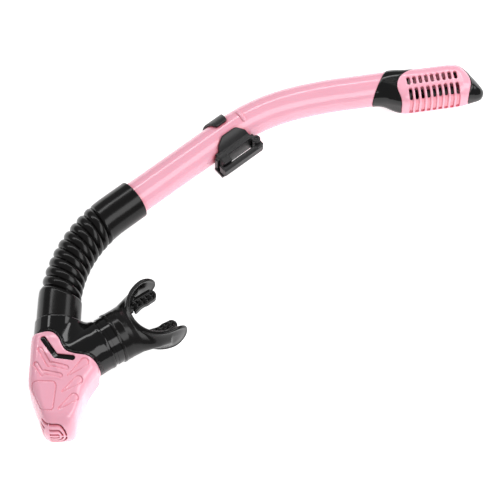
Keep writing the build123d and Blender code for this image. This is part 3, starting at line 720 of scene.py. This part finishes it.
    def pink(self, x, y, z):
        """The clip-on cover."""
        u, v = leg_axes(x, y)
        form = join(self.outside(x, y, z), self.prow(x, y, z), 3.0)
        cover = rounded_common(form, self.cover_edge(u, v) + 0.1, 0.55)
        cover = cut(cover, np.maximum(self.core(x, y, z) - 0.2, form + 1.2), 0.2)
        cover = cut(cover, self.prow(x, y, z, 2.0), 0.2)
        window = np.maximum(self.chevron(x, y, 0.55), 10 - np.abs(z))
        cover = cut(cover, window, 0.5)
        marks, panel = self.engraving(x, y)
        deep = np.maximum(-(form + 0.75), 9 - np.abs(z))
        shallow = np.maximum(-(form + 0.5), 9 - np.abs(z))
        cover = cut(cover, np.maximum(marks, shallow), 0.3)
        cover = cut(cover, np.maximum(np.abs(marks + 0.1) - 0.4, deep), 0.3)
        cover = cut(cover, np.maximum(np.abs(panel) - 0.35, shallow), 0.3)
        front = np.maximum(self.slots(3.2 - v, z), u - PROW_END - 6.0)
        cover = cut(cover, front, 0.3)
        ahead, aside = np.array(END_FACE_RUN) / math.hypot(*END_FACE_RUN)
        from_u, from_v = u - END_FACE_START[0], v - END_FACE_START[1]
        side_along = from_u * ahead + from_v * aside
        side_depth = from_v * ahead - from_u * aside
        side = np.maximum(self.slots(side_along, z), np.maximum(-6.0 - side_depth, side_along - 9.0))
        return cut(cover, side, 0.3)


class SNORKEL_OT_chamber(bpy.types.Operator):
    """Makes the gloss black chamber and the pink purge cover that clips over it"""
    bl_idname = "snorkel.chamber"
    bl_label = "Purge Chamber"

    def execute(self, context):
        form = ChamberForm(context.scene.snorkel_chamber)
        points, faces = skin(form.black, (-17, -24, -20.5), (44.5, 56, 20.5), 0.6)
        made = piece("chamber_shell", points, faces, PORT, FINISHES["gloss_black"])
        fitted(made, "chamber", "gloss_black", "lower_chamber")
        points, faces = skin(form.pink, (-47, -62, -20.5), (37, 32, 20.5), 0.55)
        made = piece("purge_cover_shell", points, faces, PORT, FINISHES["gloss_pink"])
        fitted(made, "chamber", "gloss_pink", "purge_cover")
        return {"FINISHED"}


# ---------------------------------------------------------------- mouthpiece
NECK_START = 49.2
SHIELD_MIDDLE = NECK_START + 16.4 + 24.6
SHIELD_TIP = NECK_START + 50.5
SHIELD_HALF = 13.4
LUG_HALF = 3.0


def mouthpiece_field(x, y, z):
    """The silicone mouthpiece, in the port's frame."""
    width = np.interp(x, (49, 58, 64, 70, 76, 84), (19.2, 19.3, 20.2, 22.2, 24.2, 24.6))
    rise = np.interp(x, (49, 57, 61, 65, 70, 78), (19.2, 19.0, 17.2, 14.6, 12.6, 12.0))
    ring = np.hypot(y / width, z / rise)
    neck = (ring - 1) * np.minimum(width, rise) * 0.85
    neck = np.maximum(neck, slab(x, NECK_START, 84))
    cuff = rounded_common(np.hypot(y, z) - 19.5, slab(x, NECK_START, 51.2), 0.25)
    neck = join(rounded_common(neck, NECK_START - x, 0.5), cuff, 0.4)
    beyond = np.maximum(x - SHIELD_MIDDLE, 0.0)
    curl = 23.2 - 0.012 * beyond ** 2
    across = np.where(x < SHIELD_MIDDLE, np.hypot(x - SHIELD_MIDDLE, y), np.abs(y)) - curl
    end = np.maximum(x - (SHIELD_TIP - SHIELD_HALF), 0.0)
    side = np.hypot(end, z) - SHIELD_HALF
    rim = np.exp(-((side + 0.9) / 0.8) ** 2)
    thick = 1.35 - 0.45 * smooth_step(-side, 9.0, 1.5) + 0.35 * rim
    shield = rounded_common(np.abs(across) - thick, side, 0.85)
    shield = np.maximum(shield, 62 - x)
    whole = join(neck, shield, 3.4)
    inner = np.where(x < SHIELD_MIDDLE, np.hypot(x - SHIELD_MIDDLE, y), np.abs(y)) - 21.7
    whole = cut(whole, np.maximum(inner, 60 - x), 1.2)
    whole = join(whole, shield, 0.8)
    lug = np.full(x.shape, 1e3)
    ay = np.abs(y)
    for at, middle, radius in ((75.5, 13.8, 4.6), (80.5, 14.4, 4.2), (86.0, 14.7, 4.8), (91.0, 14.7, 4.4)):
        lug = join(lug, np.hypot(x - at, ay - middle) - radius, 2.2)
    lug = join(lug, strip(x, ay, (68.0, 10.5), (77.0, 13.0), 2.8), 2.0)
    pads = rounded_common(lug, np.abs(z) - LUG_HALF, 1.1)
    ridge = rounded_common(strip(x, ay, (74.5, 17.2), (91.5, 17.5), 1.5), np.abs(z) - 4.0, 0.8)
    pads = join(pads, ridge, 0.8)
    holes = np.full(x.shape, 1e3)
    for number in range(5):
        at = 75.2 + number * 4.1
        holes = np.minimum(holes, np.hypot(x - at, ay - 12.0) - 0.85)
        holes = np.minimum(holes, np.hypot(x - at, ay - 14.8) - 0.7)
    pads = cut(pads, np.maximum(holes, 1.6 - np.abs(z)), 0.3)
    whole = join(whole, pads, 0.6)
    bore_y = np.interp(x, (49, 61.4, 73), (16.05, 16.0, 12.0))
    bore_z = np.interp(x, (49, 61.4, 73), (16.05, 16.0, 7.0))
    bore = (np.hypot(y / bore_y, z / bore_z) - 1) * np.minimum(bore_y, bore_z) * 0.85
    return cut(whole, np.maximum(bore, x - 74.5), 0.5)


class SNORKEL_OT_mouthpiece(bpy.types.Operator):
    """Makes the silicone mouthpiece: neck, curved lip shield and two bite lugs"""
    bl_idname = "snorkel.mouthpiece"
    bl_label = "Mouthpiece"

    def execute(self, context):
        points, faces = skin(mouthpiece_field, (48, -26.5, -20.5), (101, 26.5, 20.5), 0.5)
        made = piece("mouthpiece_silicone", points, faces, PORT, FINISHES["black_silicone"])
        fitted(made, "mouthpiece", "black_silicone", "mouthpiece")
        return {"FINISHED"}


# ---------------------------------------------------------------- dry top
class TopForm:
    """The dry top's shared forms, in the frame of the tube's last straight."""

    def __init__(self, sizes):
        self.sizes = sizes
        self.wall = sizes.wall / MM
        self.side = Outline([(0, 12.85), (26, 12.7), (38, 12.3), (48, 10.6), (60, 9.6), (84, 9.4),
                             (93, 8.2), (99.5, 2.2), (107.2, -12), (108.4, -16.5), (106, -20.4),
                             (101.5, -21.4), (60, -21.4), (46, -21.2), (38, -18.4), (31, -14.0),
                             (25, -12.8), (0, -12.85)], 5.0)
        self.cover_edge = Outline([(62, 20), (61.5, 11), (56, 7.6), (50, 4.6), (44.4, 0.4), (41.6, -5),
                                   (41.2, -11), (43.2, -17), (43.6, -30), (91.5, -30), (95.4, -20),
                                   (98.6, -12), (98.4, -4), (94.6, 3.0), (88.5, 7.2), (84, 10.5),
                                   (84, 20)], 4.0)

    def form(self, x, y, z, inset=0.0):
        """The outside, or the inside when inset by the wall."""
        half = np.interp(x, (24, 44, 84, 92, 99, 105, 108.4), (12.85, 14.0, 14.0, 13.2, 11.0, 8.0, 5.6))
        edge = np.minimum(12.7 - 2.7 * smooth_step(x, 24.0, 44.0), half - 0.6)
        return rounded_common(self.side(x, y) + inset, np.abs(z) - half + inset, edge - inset)

    def black(self, x, y, z):
        """The black base, spine and nose."""
        past = (x - TUBE_END - 0.1) * math.cos(JOINT_SLANT) - y * math.sin(JOINT_SLANT)
        outside = rounded_common(self.form(x, y, z), -past, 0.4)
        spigot = np.maximum(np.hypot(y, z) - 11.0, slab(x, 16, 43))
        around = np.maximum(np.abs(np.arctan2(z, y)) * 12.7 - WINDOW_HALF_SWEEP, 0)
        tab = np.hypot(np.maximum(np.abs(x - WINDOW_ALONG) - 1.0, 0), around) - 1.45
        tab = rounded_common(tab, np.hypot(y, z) - 12.6, 0.35)
        shell = join(join(outside, spigot), np.maximum(tab, 5 - y))
        shell = cut(shell, self.form(x, y, z, self.wall), 0.1)
        shell = cut(shell, np.maximum(np.hypot(y, z) - 9.3, x - 50))
        return cut(shell, self.region(x, y, z, 0.0), 0.5)

    def region(self, x, y, z, shrink):
        """What the grille takes of the dry top's wall."""
        spine = np.maximum(np.abs(z) - 2.6 - shrink, 5.0 - y)
        return np.maximum(self.cover_edge(x, y) + shrink, -spine)

    def pink(self, x, y, z):
        """The saddle-shaped grille cover."""
        outside = self.form(x, y, z)
        cover = rounded_common(outside, self.region(x, y, z, 0.16), 0.35)
        cover = cut(cover, self.form(x, y, z, self.wall + 0.7), 0.1)
        pitch, half = self.sizes.slot_pitch / MM, self.sizes.slot_width / 2 / MM
        slots = np.full(x.shape, 1e3)
        for number in range(self.sizes.slot_count):
            at = 50.8 + number * pitch
            slots = np.minimum(slots, strip(x, y, (at, -2.2), (at, -6.4), half))
            slots = np.minimum(slots, strip(x, y, (at, -12.0), (at, -17.2), half))
            recess = np.maximum(strip(x, y, (at, -17.0), (at, -40.0), half), -(outside + 1.4))
            slots = np.minimum(slots, np.maximum(recess, -z - 6.5))
            slots = np.minimum(slots, np.maximum(recess, z + 9.0))
        cover = cut(cover, slots, 0.5)
        notch = strip(x, y, (61.5, 9.5), (66.5, 4.6), 0.16)
        notch = np.minimum(notch, strip(x, y, (73.0, 9.5), (76.0, 4.4), 0.16))
        return cut(cover, np.maximum(notch, -(outside + 0.3)), 0.15)


class SNORKEL_OT_dry_top(bpy.types.Operator):
    """Makes the dry top: black base, spine and nose, and the pink grille cover over them"""
    bl_idname = "snorkel.dry_top"
    bl_label = "Dry Top"

    def execute(self, context):
        form = TopForm(context.scene.snorkel_top)
        points, faces = skin(form.black, (14, -23.5, -15.5), (110, 14.5, 15.5), 0.5)
        made = piece("dry_top_base", points, faces, TOP, FINISHES["gloss_black"])
        fitted(made, "snorkel_tube", "gloss_black", "dry_top_housing")
        points, faces = skin(form.pink, (39, -23.5, -15.5), (101, 11.5, 15.5), 0.45)
        made = piece("dry_top_cover", points, faces, TOP, FINISHES["gloss_pink"])
        fitted(made, "snorkel_tube", "gloss_pink", "dry_top_grille")
        return {"FINISHED"}


# ---------------------------------------------------------------- keeper
HINGE = (121.0, -20.5)
RING_R = 12.95
RING_OUTER_R = 15.1
RING_OPENING = (4.0, 17.0)    # the gap's middle and half its width, in degrees round from Z
FRAME_HALF = 7.4              # half heights of the strap frame and of the gate
GATE_HALF = 4.3


def clamp_field(x, y, z):
    """The keeper's clamp on the straight tube: split ring, saddle, strap frame and hinge ears."""
    away = np.hypot(y, z)
    angle = np.degrees(np.arctan2(-y, z))
    radial = np.abs(away - (RING_R + RING_OUTER_R) / 2) - (RING_OUTER_R - RING_R) / 2
    start = np.interp(angle, (-180, -90, -64, -13, 20, 28, 40, 55, 90, 180),
                      (94, 97, 99, 101.5, 99.4, 97.5, 93.4, 91.6, 88.5, 94))
    end = np.interp(angle, (-180, -90, -13, 20, 45, 60, 90, 180),
                    (117, 115.8, 112, 112.6, 118.4, 119.4, 119.4, 117))
    open_top = np.radians(RING_OPENING[1] - np.abs(angle - RING_OPENING[0])) * away
    plan = rounded_common(slab(x, start, end) * 0.9, open_top, 1.6)
    ring = rounded_common(radial, plan, 0.6)
    saddle = brick(x, y, z, ((88, 119.4), (-17.5, -11.5), (-FRAME_HALF, FRAME_HALF)), 0.7)
    groove = np.maximum(np.abs(y + 13.7) - 0.22, 7.15 - z)
    saddle = cut(saddle, groove, 0.2)
    bar = brick(x, y, z, ((85.5, 120), (-17.5, -14.1), (-FRAME_HALF, FRAME_HALF)), 0.7)
    post = brick(x, y, z, ((88.4, 95.8), (-22.6, -15), (-FRAME_HALF, FRAME_HALF)), 0.6)
    plate = brick(x, y, z, ((84.6, 118), (-24.6, -22.4), (-FRAME_HALF, -4.8)), 0.5)
    foot = brick(x, y, z, ((84.6, 90.5), (-24.4, -15), (-FRAME_HALF, -4.8)), 0.5)
    post = join(post, join(plate, foot, 0.5), 0.4)
    teeth = np.full(x.shape, 1e3)
    for level in (3.4, 5.0, 6.6):
        teeth = np.minimum(teeth, np.maximum(np.abs(z - level) - 0.3, x - 88.7))
    post = cut(post, np.maximum(teeth, y + 17), 0.2)
    whole = join(join(ring, saddle, 0.8), join(bar, post, 0.6), 0.5)
    over = np.hypot(x - HINGE[0], y - HINGE[1])
    arm = brick(x, y, z, ((117.9, 121.6), (-20.5, -15.0), (-FRAME_HALF, FRAME_HALF)), 0.5)
    ear = join(over - 3.3, arm, 0.8)
    ear = rounded_common(ear, np.abs(z) - FRAME_HALF, 0.5)
    ear = np.maximum(ear, 4.5 - np.abs(z))
    whole = join(whole, ear, 0.4)
    whole = cut(whole, over - 1.35, 0.3)
    return cut(whole, away - RING_R, 0.2)


def gate_field(x, y, z):
    """The keeper's gate: a rail hooked over the post, with a knuckle."""
    rail = brick(x, y, z, ((85.9, 122.6), (-26.6, -22.8), (-GATE_HALF, GATE_HALF)), 0.6)
    bevel = (-y + z - 29.0) / math.sqrt(2)
    rail = np.maximum(rail, bevel)
    hook = brick(x, y, z, ((85.5, 87.6), (-24.6, -20.2), (-GATE_HALF, GATE_HALF)), 0.5)
    over = np.hypot(x - HINGE[0], y - HINGE[1])
    knuckle = join(over - 3.1, brick(x, y, z, ((118.1, 123.9), (-26.0, -20.5), (-6, 6)), 0.5), 0.5)
    knuckle = rounded_common(knuckle, np.abs(z) - GATE_HALF, 0.4)
    return cut(join(join(rail, hook, 0.5), knuckle, 0.6), over - 1.2, 0.2)


class SNORKEL_OT_keeper(bpy.types.Operator):
    """Makes the mask strap keeper: the clamp on the tube and its hinged gate"""
    bl_idname = "snorkel.keeper"
    bl_label = "Strap Keeper"

    def execute(self, context):
        points, faces = skin(clamp_field, (84, -25.5, -16.5), (126, 16.5, 16.5), 0.4)
        made = piece("keeper_body", points, faces, TUBE_START, FINISHES["satin_black"])
        fitted(made, "mask_keeper", "satin_black", "keeper_clamp")
        points, faces = skin(gate_field, (84, -29, -8.5), (126, -16, 6), 0.35)
        made = piece("keeper_rail", points, faces, TUBE_START, FINISHES["satin_black"])
        fitted(made, "keeper_gate", "satin_black", "keeper_gate")
        return {"FINISHED"}


# ---------------------------------------------------------------- pieces kept from the frame
KEPT = {
    "swivel_connector": "gloss_black", "valve_plate": "gloss_black", "float_arm": "gloss_black",
    "purge_valve_seat": "gloss_black", "top_seal": "black_silicone", "swivel_seal": "black_silicone",
    "valve_seat": "clear_silicone", "seal_pad": "clear_silicone", "purge_valve": "clear_silicone",
    "float_body": "satin_black", "float_hinge_pin": "pin_steel", "keeper_hinge_pin": "satin_black",
}


class SNORKEL_OT_kept(bpy.types.Operator):
    """Gives the swivel, the valves, the float, the seals and the pins their finishes"""
    bl_idname = "snorkel.kept"
    bl_label = "Valves and Pins"

    def execute(self, context):
        for name, finish in KEPT.items():
            mesh = frame["nodes"][name].data
            mesh.materials.clear()
            mesh.materials.append(FINISHES[finish])
            mesh.polygons.foreach_set("material_index", [0] * len(mesh.polygons))
        return {"FINISHED"}


# ---------------------------------------------------------------- stage
CAMERA_LENS = 193.3
CAMERA_PLACE = (-0.5207, -0.8151, 1.7850)
TOWARDS_CAMERA = (-0.2543, -0.3946, 0.8829)
CAMERA_RIGHT = (0.8406, -0.5417, 0.0)


def softbox(name, place, size, power):
    """A soft rectangular light that faces the middle of the floor."""
    light = bpy.data.lights.new(name, "AREA")
    light.shape = "RECTANGLE"
    light.size, light.size_y = size
    light.energy = power
    made = bpy.data.objects.new(name, light)
    made.location = place
    made.rotation_euler = (-Vector(place)).to_track_quat("-Z", "Y").to_euler()
    bpy.context.scene.collection.objects.link(made)


class SNORKEL_OT_stage(bpy.types.Operator):
    """Makes the pale floor, the studio light and the camera"""
    bl_idname = "snorkel.stage"
    bl_label = "Stage"

    def execute(self, context):
        scene = context.scene
        mesh = bpy.data.meshes.new("floor")
        far = 6.0
        mesh.from_pydata([(-far, -far, 0), (far, -far, 0), (far, far, 0), (-far, far, 0)], [], [(0, 1, 2, 3)])
        # matt white studio paper: no shine, a trace of tooth
        mesh.materials.append(moulded("matt_white_paper", linear("#F6F6F6"), 0.85, 0.03, 2.0, 0.02,
                                      {"IOR": 1.45, "Specular IOR Level": 0.1,
                                       "Emission Color": (1.0, 1.0, 1.0, 1.0), "Emission Strength": 0.7}))
        floor = bpy.data.objects.new("floor", mesh)
        scene.collection.objects.link(floor)
        world = bpy.data.worlds.new("studio")
        world.use_nodes = True
        background = world.node_tree.nodes["Background"]
        background.inputs["Color"].default_value = (1.0, 1.0, 1.0, 1.0)
        background.inputs["Strength"].default_value = 0.3
        scene.world = world
        softbox("back_strip", (0.38, 0.86, 1.16), (2.4, 0.22), 9.0)
        softbox("front_panel", (0.50, -0.69, 1.12), (2.4, 0.7), 16.5)
        camera = bpy.data.objects.new("camera", bpy.data.cameras.new("camera"))
        camera.data.lens = CAMERA_LENS
        camera.data.sensor_width = 36.0
        towards, right = Vector(TOWARDS_CAMERA), Vector(CAMERA_RIGHT)
        up = towards.cross(right)
        camera.location = Vector(CAMERA_PLACE) - 0.0006 * right + 0.0009 * up
        camera.data.clip_end = 30.0
        camera.rotation_euler = Matrix((right, up, towards)).transposed().to_euler()
        scene.collection.objects.link(camera)
        scene.camera = camera
        scene.view_settings.view_transform = "Standard"
        return {"FINISHED"}


# ---------------------------------------------------------------- add-on
STEPS = (SNORKEL_OT_tube, SNORKEL_OT_hose, SNORKEL_OT_chamber, SNORKEL_OT_mouthpiece,
         SNORKEL_OT_dry_top, SNORKEL_OT_keeper, SNORKEL_OT_kept, SNORKEL_OT_stage)
GROUPS = {"snorkel_tube": TubeSizes, "snorkel_chamber": ChamberSizes, "snorkel_top": TopSizes,
          "snorkel_colours": Colours}


class SNORKEL_PT_pieces(bpy.types.Panel):
    """Lists the pieces, their sizes and their colours"""
    bl_idname = "SNORKEL_PT_pieces"
    bl_label = "Dry-Top Snorkel"
    bl_space_type = "VIEW_3D"
    bl_region_type = "UI"
    bl_category = "Snorkel"

    def draw(self, context):
        for attribute, group in GROUPS.items():
            values = getattr(context.scene, attribute)
            for name in group.__annotations__:
                self.layout.prop(values, name)
        for step in STEPS:
            self.layout.operator(step.bl_idname)


def register():
    for group in GROUPS.values():
        bpy.utils.register_class(group)
    for step in (*STEPS, SNORKEL_PT_pieces):
        bpy.utils.register_class(step)
    for attribute, group in GROUPS.items():
        setattr(bpy.types.Scene, attribute, PointerProperty(type=group))


def unregister():
    for attribute in GROUPS:
        delattr(bpy.types.Scene, attribute)
    for made in (SNORKEL_PT_pieces, *reversed(STEPS), *GROUPS.values()):
        bpy.utils.unregister_class(made)


def main():
    register()
    make_finishes(bpy.context.scene.snorkel_colours)
    for step in STEPS:
        group, name = step.bl_idname.split(".")
        getattr(getattr(bpy.ops, group), name)()


if __name__ == "__main__":
    main()
